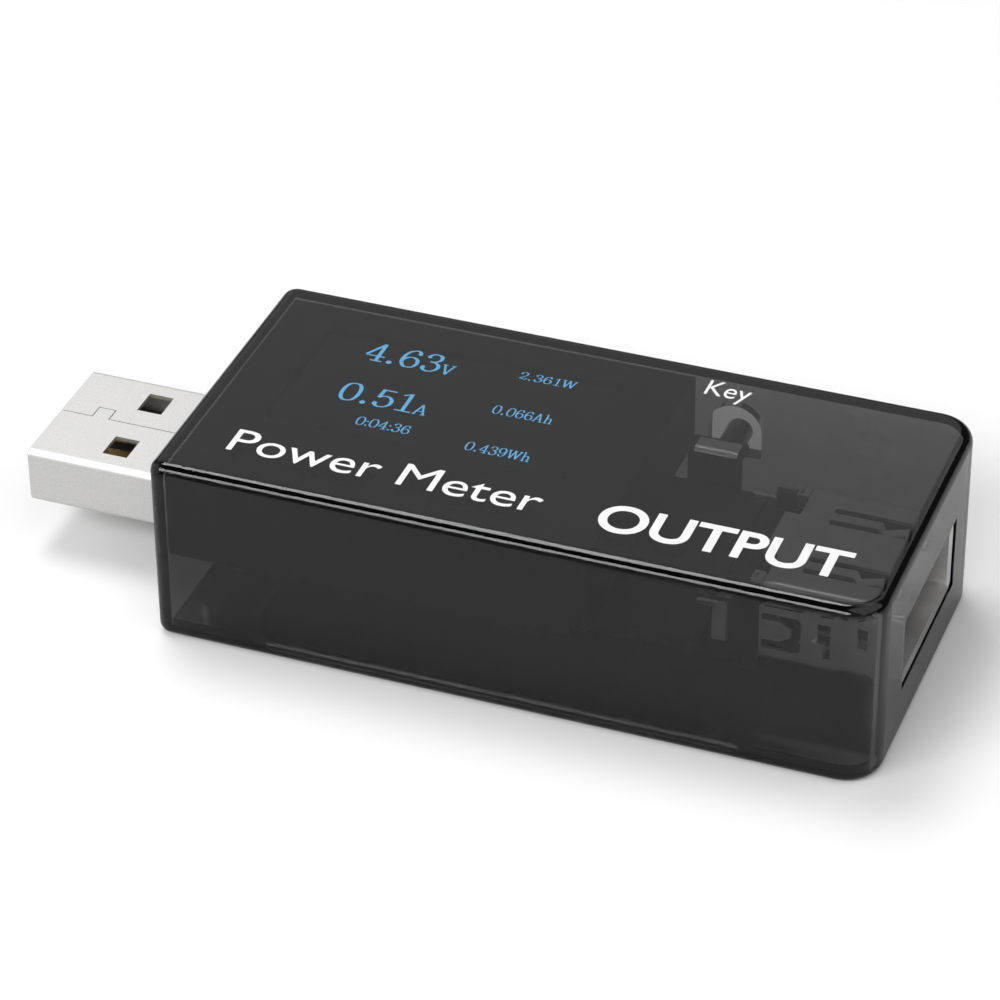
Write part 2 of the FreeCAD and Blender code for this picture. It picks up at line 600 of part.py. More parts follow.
def display_flex():
    """The flexible ribbon from the glass ledge, turned round in a half circle to the board."""
    top = CAP_TOP
    bottom = BOARD_TOP
    radius = (top - bottom) / 2
    mid_z = (top + bottom) / 2
    turn_y = GLASS_Y0 + 0.9
    start_y = GLASS_Y0 + 2.0
    foot_y = GLASS_Y0 + 4.6
    x0 = VIEW_X - FLEX_WIDTH / 2

    def ring(r):
        ends = [FreeCAD.Vector(x0, turn_y, mid_z + r), FreeCAD.Vector(x0, turn_y, mid_z - r)]
        through = FreeCAD.Vector(x0, turn_y - r, mid_z)
        return Part.Arc(ends[0], through, ends[1]).toShape(), ends

    outer_arc, outer = ring(radius)
    inner_arc, inner = ring(radius - FLEX)
    tops = [FreeCAD.Vector(x0, start_y, top), FreeCAD.Vector(x0, start_y, top - FLEX)]
    feet = [FreeCAD.Vector(x0, foot_y, bottom), FreeCAD.Vector(x0, foot_y, bottom + FLEX)]
    edges = [
        Part.makeLine(tops[0], outer[0]), outer_arc, Part.makeLine(outer[1], feet[0]),
        Part.makeLine(feet[0], feet[1]), Part.makeLine(feet[1], inner[1]), inner_arc,
        Part.makeLine(inner[0], tops[1]), Part.makeLine(tops[1], tops[0]),
    ]
    wire = Part.Wire(Part.__sortEdges__(edges))
    return Part.Face(wire).extrude(FreeCAD.Vector(FLEX_WIDTH, 0, 0))


# ---------------------------------------------------------------- key switch
SWITCH_WIDTH = 4.15
SWITCH_Y0 = BOARD_NARROW_BACK_Y + 0.02
SWITCH_Y1 = 9.1
SWITCH_Z0 = BOARD_BOTTOM
SWITCH_Z1 = 10.8
ROOF_R = 0.74
ROOF_BOTTOM = 10.33
FRONT_PLATE = 0.4
BEARING_WIDTH = 3.0
CLIP = 0.15
CLIP_WIDTH = 3.3
CLIP_LIP_Z = 10.5
LEAF_WIDTH = 2.8
LEAF_Y = 8.9
FLANGE_R = 1.16
CHAMBER_R = 1.22
CHAMBER_Y0 = 7.5
DOME_HEIGHT = 0.2
DOME_FOOT_Y = CHAMBER_Y0 + 0.01
FLANGE_Y0 = DOME_FOOT_Y + DOME_HEIGHT + KEY_TRAVEL + 0.1
FLANGE_Y1 = FLANGE_Y0 + 0.33
KEY_CLEARANCE = 0.05
TERMINAL_OFFSET = 1.3
TERMINAL_WIDTH = 0.7


def switch_block(width, y0, y1, z0, z1):
    """A block centred on the key."""
    return box(KEY_X - width / 2, KEY_X + width / 2, y0, y1, z0, z1)


def switch_outline(width, inset):
    """The switch's outside with its rounded front top edge, drawn in by an inset."""
    top = SWITCH_Z1 - inset
    block = switch_block(width, SWITCH_Y0 + inset, SWITCH_Y1, SWITCH_Z0, top)
    return fillet(block, ROOF_R - inset, lambda e: runs_along(e, "x")
                  and at_level(e, top) and e.BoundBox.YMax < LEAF_Y)


def switch_body(clip):
    """The switch's moulded body: a front plate, a rounded roof between two cheeks, and the
    key's hollow bearing behind them."""
    outline = switch_outline(SWITCH_WIDTH, 0)
    roof = outline.common(switch_block(SWITCH_WIDTH, SWITCH_Y0, SWITCH_Y1,
                                       ROOF_BOTTOM, SWITCH_Z1))
    plate = outline.common(switch_block(SWITCH_WIDTH, SWITCH_Y0, SWITCH_Y0 + FRONT_PLATE,
                                        SWITCH_Z0, SWITCH_Z1))
    bearing = switch_block(BEARING_WIDTH, SWITCH_Y0 + 0.1, LEAF_Y - CLIP, SWITCH_Z0,
                           ROOF_BOTTOM + 0.1)
    chamber = rod(CHAMBER_R, (KEY_X, CHAMBER_Y0, KEY_Z), (KEY_X, FLANGE_Y1 + 0.02, KEY_Z))
    bore = rod(KEY_R + KEY_CLEARANCE, (KEY_X, FLANGE_Y1, KEY_Z),
               (KEY_X, SWITCH_Y1 + 1, KEY_Z))
    return cut_all(joined([roof, plate, bearing]), [chamber, bore, clip])


def switch_clip():
    """The bright sheet clip: over the roof between the cheeks, and down behind the bearing
    as a leaf with a hole for the key."""
    sheet = switch_outline(CLIP_WIDTH, 0).cut(switch_outline(CLIP_WIDTH + 1, CLIP))
    sheet = sheet.common(switch_block(CLIP_WIDTH, SWITCH_Y0, LEAF_Y, CLIP_LIP_Z, SWITCH_Z1))
    leaf = switch_block(LEAF_WIDTH, LEAF_Y - CLIP, LEAF_Y, SWITCH_Z0 + 0.4,
                        SWITCH_Z1 - CLIP / 2)
    hole = rod(KEY_R + 0.1, (KEY_X, LEAF_Y - 1, KEY_Z), (KEY_X, LEAF_Y + 1, KEY_Z))
    return joined([sheet, leaf.cut(hole)])


def key_plunger():
    """The key: a round push rod with a retaining flange, reaching out through the window."""
    tip_y = SIDE_Y + KEY_PROUD
    stem = rod(KEY_R, (KEY_X, FLANGE_Y0, KEY_Z), (KEY_X, tip_y, KEY_Z))
    stem = fillet(stem, 0.2, lambda e: e.BoundBox.YMin > tip_y - 1e-6)
    flange = rod(FLANGE_R, (KEY_X, FLANGE_Y0, KEY_Z), (KEY_X, FLANGE_Y1, KEY_Z))
    return joined([stem, flange])


def switch_dome():
    """The snap dome at its pressed shape: a shallow coned dish against the body's back."""
    across = FreeCAD.Vector(0, 1, 0)
    foot = FreeCAD.Vector(KEY_X, DOME_FOOT_Y, KEY_Z)
    outer = Part.makeCone(CHAMBER_R - 0.1, 0.5, DOME_HEIGHT, foot, across)
    hollow = Part.makeCone(CHAMBER_R - 0.25, 0.35, DOME_HEIGHT - 0.1,
                           foot - across * 0.001, across)
    return outer.cut(hollow)


def switch_terminals():
    """Two flat solder straps under the switch and the board."""
    straps = []
    for side in (-1, 1):
        x = KEY_X + side * TERMINAL_OFFSET
        straps.append(centred_box(x - TERMINAL_WIDTH / 2, x + TERMINAL_WIDTH / 2, 7.5, 3.0,
                                  BOARD_BOTTOM - STRIP, BOARD_BOTTOM))
    return straps


# ---------------------------------------------------------------- components on the board
def chip_package(x, y, length, width, height, legs, pitch, reach):
    """A moulded chip and its gull legs, on both long sides: returns the body and the legs."""
    foot = BOARD_TOP
    lift = 0.1
    body = centred_box(x - length / 2, x + length / 2, y, width, foot + lift,
                       foot + height)
    body = fillet(body, 0.12, lambda e: at_level(e, foot + height))
    marker = rod(0.3, (x - length / 2 + 0.8, y - width / 2 + 0.8, foot + height - 0.08),
                 (x - length / 2 + 0.8, y - width / 2 + 0.8, foot + height + 1))
    body = body.cut(marker)
    mid_z = foot + height / 2
    thick = 0.12
    leg_solids = []
    per_side = legs // 2
    for side in (-1, 1):
        edge = y + side * width / 2
        knee = edge + side * reach * 0.4
        toe = edge + side * reach
        outline = [(edge, mid_z), (edge, mid_z + thick), (knee + side * thick, mid_z + thick),
                   (knee + side * thick, foot + thick), (toe, foot + thick), (toe, foot),
                   (knee, foot), (knee, mid_z)]
        for index in range(per_side):
            leg_x = x + (index - (per_side - 1) / 2) * pitch
            leg_solids.append(end_profile(outline, leg_x - pitch * 0.22,
                                          leg_x + pitch * 0.22))
    return body, leg_solids


def chip_part(x, y, length, width, height, cap):
    """A two-ended chip part with metal end caps: returns the middle and the two caps."""
    z0 = BOARD_TOP
    middle = centred_box(x - length / 2 + cap, x + length / 2 - cap, y, width, z0,
                         z0 + height)
    ends = [centred_box(x - length / 2, x - length / 2 + cap, y, width, z0, z0 + height),
            centred_box(x + length / 2 - cap, x + length / 2, y, width, z0, z0 + height)]
    return middle, ends


def diode_and_regulator():
    """The clamp diode and the three-legged regulator."""
    diode, diode_legs = chip_package(6.0, 8.3, 4.0, 2.4, 1.9, 2, 2.4, 0.9)
    regulator, regulator_legs = chip_package(-12.0, 7.4, 4.4, 2.5, 1.5, 6, 1.5, 0.9)
    return diode, regulator, diode_legs + regulator_legs


CAPACITOR_PLACES = ((-11.8, 3.9), (-7.6, 7.6), (1.8, 7.4), (3.6, -2.4), (-9.0, -1.9))
RESISTOR_PLACES = ((-3.6, 6.4), (-3.6, 7.8), (-12.0, 0.4), (-12.0, -1.2), (9.0, 3.6),
                   (9.0, 1.6))


def board_components():
    """The chips and chip parts on the board under the display, and their solder ends."""
    controller, controller_legs = chip_package(-4.6, 2.3, 6.5, 4.4, 1.1, 20, 0.65, 1.0)
    memory, memory_legs = chip_package(5.2, 2.6, 4.9, 3.9, 1.5, 8, 1.27, 1.05)
    amplifier, amplifier_legs = chip_package(9.0, -3.2, 2.9, 1.6, 1.1, 6, 0.95, 0.6)
    diode, regulator, power_legs = diode_and_regulator()
    shunt, shunt_caps = chip_part(6.1, -7.6, 6.3, 3.2, 0.65, 0.9)
    capacitors = []
    resistors = []
    caps = []
    for x, y in CAPACITOR_PLACES:
        middle, ends = chip_part(x, y, 2.0, 1.25, 1.0, 0.4)
        capacitors.append(middle)
        caps += ends
    for x, y in RESISTOR_PLACES:
        middle, ends = chip_part(x, y, 1.6, 0.8, 0.45, 0.3)
        resistors.append(middle)
        caps += ends
    return {
        "microcontroller": controller,
        "microcontroller_legs": controller_legs,
        "memory_chip": memory,
        "memory_chip_legs": memory_legs,
        "sense_amplifier": amplifier,
        "sense_amplifier_legs": amplifier_legs,
        "clamp_diode": diode,
        "voltage_regulator": regulator,
        "power_part_legs": power_legs,
        "current_shunt": shunt,
        "current_shunt_ends": shunt_caps,
        "chip_capacitors": capacitors,
        "chip_resistors": resistors,
        "chip_part_ends": caps,
    }


# ---------------------------------------------------------------- write every node
plug_contacts = [plug_contact(offset) for offset in CONTACT_OFFSETS]
socket_contacts = [socket_contact(offset) for offset in CONTACT_OFFSETS]
clip = switch_clip()

nodes = {
    "upper_housing": upper_housing(),
    "bottom_cover": bottom_cover(),
    "main_board": main_board(),
    "plug_shell": plug_shell(),
    "plug_insulator": plug_insulator(plug_contacts),
    "plug_contacts": plug_contacts,
    "socket_shell": socket_shell(),
    "socket_insulator": socket_insulator(socket_contacts),
    "socket_contacts": socket_contacts,
    "socket_board_locks": socket_board_locks(),
    "display_holder": display_holder(),
    "display_flex": display_flex(),
    "switch_body": switch_body(clip),
    "switch_clip": clip,
    "switch_dome": switch_dome(),
    "switch_terminals": switch_terminals(),
    "key_plunger": key_plunger(),
}
nodes.update(display_parts())
nodes.update(board_components())

for name, shape in nodes.items():
    export(name, shape)
print(len(nodes), "nodes")
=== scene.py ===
import math

import bpy
from mathutils import Matrix, Vector


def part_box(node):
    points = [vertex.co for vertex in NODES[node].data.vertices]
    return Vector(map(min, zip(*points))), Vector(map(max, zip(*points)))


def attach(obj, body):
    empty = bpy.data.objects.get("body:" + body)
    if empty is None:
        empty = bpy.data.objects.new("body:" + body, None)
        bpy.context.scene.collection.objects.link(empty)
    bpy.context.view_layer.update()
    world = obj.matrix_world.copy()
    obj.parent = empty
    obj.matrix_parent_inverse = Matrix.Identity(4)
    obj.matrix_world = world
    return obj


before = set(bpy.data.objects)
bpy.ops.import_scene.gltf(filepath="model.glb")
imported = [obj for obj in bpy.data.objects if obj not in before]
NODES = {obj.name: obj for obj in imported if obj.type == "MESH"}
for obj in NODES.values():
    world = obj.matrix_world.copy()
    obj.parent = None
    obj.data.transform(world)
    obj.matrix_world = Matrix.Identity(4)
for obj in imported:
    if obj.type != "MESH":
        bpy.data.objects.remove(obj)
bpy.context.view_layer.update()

MM = 0.001

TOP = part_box("upper_housing")[1].z


# ---------------------------------------------------------------- material helpers
def new_material(name):
    """A material with one Principled shader: returns the material, its tree and the shader."""
    material = bpy.data.materials.new(name)
    material.use_nodes = True
    tree = material.node_tree
    return material, tree, tree.nodes["Principled BSDF"]


def noise(tree, size_mm, detail=3.0, stretch=(1.0, 1.0, 1.0)):
    """Noise over the object's own coordinates, with features about size_mm across."""
    coords = tree.nodes.new("ShaderNodeTexCoord")
    mapping = tree.nodes.new("ShaderNodeMapping")
    mapping.inputs["Scale"].default_value = stretch
    texture = tree.nodes.new("ShaderNodeTexNoise")
    texture.inputs["Scale"].default_value = 1.0 / (size_mm * MM)
    texture.inputs["Detail"].default_value = detail
    tree.links.new(coords.outputs["Object"], mapping.inputs["Vector"])
    tree.links.new(mapping.outputs["Vector"], texture.inputs["Vector"])
    return texture.outputs["Fac"]


def between(tree, source, low, high, start=0.3, end=0.7):
    """A value that runs from low to high as the source runs from start to end."""
    node = tree.nodes.new("ShaderNodeMapRange")
    node.inputs["From Min"].default_value = start
    node.inputs["From Max"].default_value = end
    node.inputs["To Min"].default_value = low
    node.inputs["To Max"].default_value = high
    tree.links.new(source, node.inputs["Value"])
    return node.outputs["Result"]


def colours(tree, source, first, second, start=0.35, end=0.65):
    """A colour that runs from the first to the second as the source runs from start to end."""
    ramp = tree.nodes.new("ShaderNodeValToRGB")
    ramp.color_ramp.elements[0].position = start
    ramp.color_ramp.elements[0].color = (*first, 1.0)
    ramp.color_ramp.elements[1].position = end
    ramp.color_ramp.elements[1].color = (*second, 1.0)
    tree.links.new(source, ramp.inputs["Fac"])
    return ramp.outputs["Color"]


def bumps(tree, shader, source, height_mm, strength=1.0):
    """Raises the surface by up to height_mm where the source is high."""
    node = tree.nodes.new("ShaderNodeBump")
    node.inputs["Strength"].default_value = strength
    node.inputs["Distance"].default_value = height_mm * MM
    tree.links.new(source, node.inputs["Height"])
    tree.links.new(node.outputs["Normal"], shader.inputs["Normal"])


def surface(name, first, second, rough, grain_mm, bump_mm=0.0, metallic=0.0,
            stretch=(1.0, 1.0, 1.0), blotch_mm=2.5, **sockets):
    """A finished opaque material: blotchy colour, grained roughness and fine relief."""
    material, tree, shader = new_material(name)
    shader.inputs["Metallic"].default_value = metallic
    for socket, value in sockets.items():
        shader.inputs[socket.replace("_", " ")].default_value = value
    tree.links.new(colours(tree, noise(tree, blotch_mm), first, second),
                   shader.inputs["Base Color"])
    grain = noise(tree, grain_mm, 4.0, stretch)
    tree.links.new(between(tree, grain, *rough), shader.inputs["Roughness"])
    if bump_mm:
        bumps(tree, shader, grain, bump_mm)
    return material


def smoked_plastic(name):
    """Polished see-through plastic: light is lost by depth, and the surface is a little wavy."""
    material, tree, shader = new_material(name)
    shader.inputs["Base Color"].default_value = (1.0, 1.0, 1.0, 1.0)
    shader.inputs["Transmission Weight"].default_value = 1.0
    shader.inputs["IOR"].default_value = 1.5
    tree.links.new(between(tree, noise(tree, 1.5), 0.0, 0.02), shader.inputs["Roughness"])
    bumps(tree, shader, noise(tree, 6.0, 1.0), 0.01, 0.25)
    volume = tree.nodes.new("ShaderNodeVolumeAbsorption")
    volume.inputs["Color"].default_value = SMOKE_COLOUR
    volume.inputs["Density"].default_value = SMOKE_PER_METRE
    tree.links.new(volume.outputs["Volume"], tree.nodes["Material Output"].inputs["Volume"])
    return material


def glow(name, colour, strength):
    """A lit display mark: a dark film that gives off light, a little uneven."""
    material, tree, shader = new_material(name)
    shader.inputs["Base Color"].default_value = (0.01, 0.012, 0.015, 1.0)
    shader.inputs["Roughness"].default_value = 0.3
    dimmer = tuple(channel * 0.85 for channel in colour)
    tree.links.new(colours(tree, noise(tree, 0.25), dimmer, colour),
                   shader.inputs["Emission Color"])
    shader.inputs["Emission Strength"].default_value = strength
    return material


# ---------------------------------------------------------------- materials of the CAD nodes
SMOKE_PER_METRE = 850.0
SMOKE_COLOUR = (0.04, 0.04, 0.05, 1.0)
CASE_PLASTIC = smoked_plastic("smoked_case")

FINISHES = {
    "plug_shell": surface("plug_nickel", (0.83, 0.825, 0.815), (0.93, 0.925, 0.915),
                          (0.5, 0.58), 0.1, 0.0004, 1.0, (0.4, 1.0, 1.0),
                          blotch_mm=0.11),
    "socket_shell": surface("socket_nickel", (0.74, 0.73, 0.71), (0.84, 0.83, 0.81),
                            (0.4, 0.48), 0.1, 0.0005, 1.0, (0.2, 1.0, 1.0)),
    "clip": surface("clip_steel", (0.88, 0.88, 0.87), (0.94, 0.94, 0.93),
                    (0.48, 0.53), 0.08, 0.0, 1.0, (1.0, 0.3, 1.0)),
    "gold": surface("contact_gold", (0.78, 0.56, 0.22), (0.9, 0.68, 0.32),
                    (0.2, 0.35), 0.1, 0.001, 1.0),
    "moulding": surface("black_moulding", (0.012, 0.012, 0.013), (0.02, 0.02, 0.022),
                        (0.42, 0.5), 0.12, 0.0006),
    "holder": surface("holder_moulding", (0.010, 0.010, 0.011), (0.013, 0.013, 0.014),
                      (0.5, 0.56), 0.6, 0.001),
    "board": surface("board_mask", (0.008, 0.009, 0.010), (0.012, 0.013, 0.014),
                     (0.35, 0.42), 0.15, 0.0006, blotch_mm=1.2),
    "key": surface("key_nylon", (0.045, 0.045, 0.046), (0.058, 0.058, 0.059),
                   (0.22, 0.32), 0.08, 0.001),
    "tin": surface("tinned_lead", (0.62, 0.62, 0.61), (0.72, 0.72, 0.7),
                   (0.3, 0.4), 0.1, 0.0004, 1.0),
    "epoxy": surface("chip_epoxy", (0.02, 0.02, 0.021), (0.032, 0.032, 0.034),
                     (0.5, 0.68), 0.05, 0.004),
    "ceramic": surface("capacitor_ceramic", (0.38, 0.28, 0.19), (0.5, 0.38, 0.27),
                       (0.45, 0.6), 0.06, 0.003),
    "glaze": surface("resistor_glaze", (0.012, 0.012, 0.013), (0.02, 0.02, 0.022),
                     (0.15, 0.3), 0.1, 0.001),
    "flex": surface("flex_film", (0.3, 0.16, 0.04), (0.42, 0.24, 0.07),
                    (0.25, 0.4), 0.3, 0.002, stretch=(1.0, 0.2, 1.0)),
    "foam": surface("foam_tape", (0.01, 0.01, 0.01), (0.018, 0.018, 0.018),
                    (0.75, 0.9), 0.08, 0.02),
    "panel": surface("display_glass", (0.006, 0.007, 0.009), (0.010, 0.011, 0.014),
                     (0.04, 0.09), 0.8, 0.0),
    "film": surface("display_film", (0.004, 0.0045, 0.006), (0.006, 0.007, 0.009),
                    (0.1, 0.16), 0.6, 0.0),
}

USES = {
    "clip": ["switch_clip", "switch_dome", "switch_terminals"],
    "gold": ["plug_contacts"],
    "moulding": ["plug_insulator", "socket_insulator", "switch_body"],
    "holder": ["display_holder"],
    "board": ["main_board"],
    "key": ["key_plunger"],
    "tin": ["microcontroller_legs", "memory_chip_legs", "sense_amplifier_legs",
            "power_part_legs", "current_shunt_ends", "chip_part_ends",
            "socket_board_locks", "socket_contacts"],
    "epoxy": ["microcontroller", "memory_chip", "sense_amplifier", "clamp_diode",
              "voltage_regulator", "current_shunt"],
    "ceramic": ["chip_capacitors"],
    "glaze": ["chip_resistors"],
    "flex": ["display_flex"],
    "foam": ["display_tape"],
    "panel": ["oled_front_glass", "oled_rear_glass", "oled_driver_chip"],
    "film": ["oled_polariser"],
    "plug_shell": ["plug_shell"],
    "socket_shell": ["socket_shell"],
}


def paint(node, material):
    """Gives every material slot of a CAD node the same material."""
    for holder in NODES[node].material_slots:
        holder.material = material


for finish, names in USES.items():
    for node in names:
        paint(node, FINISHES[finish])
for node in ("upper_housing", "bottom_cover"):
    paint(node, CASE_PLASTIC)


# ---------------------------------------------------------------- printing
INK = surface("white_ink", (0.86, 0.86, 0.86), (0.93, 0.93, 0.92), (0.35, 0.5), 0.05, 0.001)
INK_LIFT = 0.004 * MM


def printed(name, words, x_mm, y_mm, height_mm, width_mm, bold):
    """Flat white lettering on the top wall, fitted to a height and a total width."""
    curve = bpy.data.curves.new(name, "FONT")
    curve.body = words
    curve.offset = bold
    text = bpy.data.objects.new(name, curve)
    bpy.context.scene.collection.objects.link(text)
    bpy.context.view_layer.update()
    mesh = bpy.data.meshes.new_from_object(text)
    bpy.data.objects.remove(text)
    corners = [vertex.co.copy() for vertex in mesh.vertices]
    left = min(corner.x for corner in corners)
    right = max(corner.x for corner in corners)
    high = max(corner.y for corner in corners)
    scale_x = width_mm * MM / (right - left)
    scale_y = height_mm * MM / high
    for vertex in mesh.vertices:
        vertex.co = Vector((x_mm * MM + (vertex.co.x - left) * scale_x,
                            y_mm * MM + vertex.co.y * scale_y,
                            TOP + INK_LIFT))
    mesh.materials.clear()
    mesh.materials.append(INK)
    piece = bpy.data.objects.new(name, mesh)
    bpy.context.scene.collection.objects.link(piece)
    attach(piece, "case")


# Name, words, left edge, foot line, height of the tallest letter, width and extra boldness.
PRINTS = (
    ("title_print", "Power Meter", -16.05, -9.5, 2.75, 23.9, 0.0),
    ("output_print", "OUTPUT", 12.15, -9.8, 3.3, 18.4, 0.02),
    ("key_print", "Key", 14.15, 9.2, 1.9, 3.4, 0.0),
)
for row in PRINTS:
    printed(*row)


# ---------------------------------------------------------------- display readings
GLOW = glow("display_glow", (0.17, 0.58, 1.0), 2.6)
GLYPH_LIFT = 0.004 * MM
STROKE_LIFT = 0.001 * MM
THICK = 0.12
THIN = 0.05
NIB = math.radians(15.0)
DOT_SIDES = 20
FILM_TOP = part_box("oled_polariser")[1].z

# Each character, for a height of 1: how far it advances, its pen strokes and its round dots.
GLYPHS = {
    ".": (0.40, [], [(0.17, 0.08, 0.09)]),
    ":": (0.28, [], [(0.13, 0.10, 0.08), (0.13, 0.58, 0.08)]),
    "0": (0.70, [[(0.35, 0.975), (0.20, 0.92), (0.11, 0.72), (0.09, 0.50), (0.11, 0.28),
                  (0.20, 0.08), (0.35, 0.025), (0.50, 0.08), (0.59, 0.28), (0.61, 0.50),
                  (0.59, 0.72), (0.50, 0.92), (0.35, 0.975)]], []),
    "1": (0.66, [[(0.37, 0.99), (0.37, 0.02)], [(0.14, 0.84), (0.37, 0.96)],
                 [(0.12, 0.03), (0.62, 0.03)]], []),
    "2": (0.68, [[(0.11, 0.74), (0.20, 0.92), (0.36, 0.97), (0.54, 0.86), (0.55, 0.66),
                  (0.38, 0.42), (0.10, 0.09)],
                 [(0.10, 0.09), (0.24, 0.12), (0.42, 0.05), (0.54, 0.07), (0.61, 0.24)]],
          [(0.15, 0.73, 0.07)]),
    "3": (0.68, [[(0.12, 0.82), (0.24, 0.95), (0.38, 0.97), (0.52, 0.88), (0.53, 0.70),
                  (0.42, 0.57), (0.25, 0.54)],
                 [(0.25, 0.54), (0.44, 0.51), (0.57, 0.38), (0.57, 0.20), (0.44, 0.05),
                  (0.26, 0.02), (0.10, 0.14)]],
          [(0.15, 0.79, 0.07), (0.13, 0.19, 0.08)]),
    "4": (0.70, [[(0.45, 0.97), (0.06, 0.30)], [(0.06, 0.29), (0.66, 0.29)],
                 [(0.46, 0.99), (0.46, 0.02)], [(0.27, 0.03), (0.65, 0.03)]], []),
    "5": (0.68, [[(0.18, 0.95), (0.14, 0.50)], [(0.17, 0.93), (0.58, 0.93)],
                 [(0.14, 0.50), (0.30, 0.61), (0.48, 0.57), (0.58, 0.42), (0.58, 0.22),
                  (0.46, 0.06), (0.27, 0.02), (0.10, 0.13)]],
          [(0.13, 0.17, 0.08)]),
    "6": (0.70, [[(0.56, 0.84), (0.46, 0.95), (0.34, 0.96), (0.18, 0.82), (0.10, 0.55),
                  (0.11, 0.28), (0.22, 0.07), (0.36, 0.02), (0.52, 0.08), (0.60, 0.27),
                  (0.55, 0.48), (0.40, 0.58), (0.24, 0.54), (0.12, 0.38)]],
          [(0.53, 0.81, 0.07)]),
    "9": (0.70, [[(0.13, 0.16), (0.23, 0.05), (0.35, 0.04), (0.51, 0.18), (0.59, 0.45),
                  (0.58, 0.72), (0.47, 0.93), (0.33, 0.98), (0.17, 0.92), (0.09, 0.73),
                  (0.14, 0.52), (0.29, 0.42), (0.45, 0.46), (0.57, 0.62)]],
          [(0.16, 0.19, 0.07)]),
    "A": (0.84, [[(0.40, 0.98), (0.13, 0.04)], [(0.40, 0.98), (0.66, 0.04)],
                 [(0.22, 0.33), (0.56, 0.33)], [(0.02, 0.03), (0.26, 0.03)],
                 [(0.50, 0.03), (0.80, 0.03)]], []),
    "V": (0.80, [[(0.13, 0.96), (0.39, 0.03)], [(0.66, 0.96), (0.39, 0.03)],
                 [(0.02, 0.95), (0.29, 0.95)], [(0.53, 0.95), (0.78, 0.95)]], []),
    "W": (1.10, [[(0.12, 0.96), (0.32, 0.03)], [(0.54, 0.94), (0.32, 0.03)],
                 [(0.54, 0.94), (0.75, 0.03)], [(0.97, 0.96), (0.75, 0.03)],
                 [(0.01, 0.95), (0.27, 0.95)], [(0.43, 0.95), (0.66, 0.95)],
                 [(0.86, 0.95), (1.08, 0.95)]], []),
    "h": (0.72, [[(0.17, 1.02), (0.17, 0.02)], [(0.05, 1.01), (0.17, 1.01)],
                 [(0.17, 0.42), (0.28, 0.58), (0.42, 0.61), (0.52, 0.50), (0.53, 0.25),
                  (0.53, 0.02)],
                 [(0.04, 0.03), (0.32, 0.03)], [(0.41, 0.03), (0.68, 0.03)]], []),
}


def smooth(points, steps=6):
    """The points joined by a smooth curve through all of them; two points stay a line."""
    if len(points) == 2:
        return points
    padded = [points[0]] + points + [points[-1]]
    path = []
    for a, b, c, d in zip(padded, padded[1:], padded[2:], padded[3:]):
        for step in range(steps):
            t = step / steps
            path.append(tuple(
                0.5 * (2 * q + (r - p) * t + (2 * p - 5 * q + 4 * r - s) * t * t
                       + (3 * q - p - 3 * r + s) * t ** 3)
                for p, q, r, s in zip(a, b, c, d)))
    return path + [points[-1]]


def pen_stroke(points):
    """The two edges of a stroke made with a broad pen: thick upright, thin across."""
    path = smooth(points)
    left = []
    right = []
    for index, (x, y) in enumerate(path):
        before = path[max(index - 1, 0)]
        after = path[min(index + 1, len(path) - 1)]
        angle = math.atan2(after[1] - before[1], after[0] - before[0])
        half = (THIN + (THICK - THIN) * math.sin(angle - NIB) ** 2) / 2
        left.append((x - half * math.sin(angle), y + half * math.cos(angle)))
        right.append((x + half * math.sin(angle), y - half * math.cos(angle)))
    return left, right


def reading(name, words, x_mm, y_mm, height_mm, width_mm, unit):
    """One lit reading on the display film: figures and, at their own size, the unit."""
    corners = []
    faces = []
    cursor = 0.0
    level = 0

    def add(outline, size):
        corners.extend((cursor + x * size, y * size, level) for x, y in outline)
        return len(corners) - len(outline)

    for letter in words:
        size = unit if letter.isalpha() else 1.0
        advance, strokes, dots = GLYPHS[letter]
        for points in strokes:
            left, right = pen_stroke(points)
            first = add(left + right, size)
            count = len(left)
            faces.extend((first + i, first + count + i, first + count + i + 1, first + i + 1)
                         for i in range(count - 1))
            level += 1
        for x, y, radius in dots:
            turns = [2 * math.pi * i / DOT_SIDES for i in range(DOT_SIDES)]
            first = add([(x + radius * math.cos(t), y + radius * math.sin(t))
                         for t in turns], size)
            faces.append(tuple(range(first, first + DOT_SIDES)))
            level += 1
        cursor += advance * size
    scale_x = width_mm * MM / cursor
    mesh = bpy.data.meshes.new(name)
    mesh.from_pydata([(x_mm * MM + x * scale_x, (y_mm + y * height_mm) * MM,
                       FILM_TOP + GLYPH_LIFT + z * STROKE_LIFT)
                      for x, y, z in corners], [], faces)
    mesh.materials.append(GLOW)
    piece = bpy.data.objects.new(name, mesh)
    bpy.context.scene.collection.objects.link(piece)
    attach(piece, "case")


# Name, words, left edge, foot line, height, width, and the unit's size against the figures'.
READINGS = (
    ("reading_volts", "4.63V", -11.93, 6.38, 2.45, 7.25, 0.56),
    ("reading_amps", "0.51A", -11.78, 0.68, 2.45, 7.25, 0.56),
    ("reading_time", "0:04:36", -9.13, -2.02, 1.1, 4.3, 1.0),
    ("reading_watts", "2.361W", 0.05, 7.78, 1.0, 4.53, 1.0),
    ("reading_amp_hours", "0.066Ah", -0.21, 2.76, 1.12, 4.75, 1.0),
    ("reading_watt_hours", "0.439Wh", -0.41, -2.42, 1.12, 5.1, 1.0),
)
for row in READINGS:
    reading(*row)


# ---------------------------------------------------------------- floor, light and camera
FLOOR_SIZE = 3.0
FLOOR_DEPTH = 0.02 * MM
FLOOR_SEEN = 0.96
FLOOR_MIRRORED = 0.56

WALL_LIGHT = 0.06

# Direction, the two angles between which the patch fades out, and its strength.
PANELS = (
    ((-0.45, 0.70, 0.55), 20.0, 28.0, 0.49),
    ((-0.9, -0.3, 0.3), 25.0, 45.0, 0.6),
    ((0.3, -0.9, 0.3), 20.0, 40.0, 0.2),
)

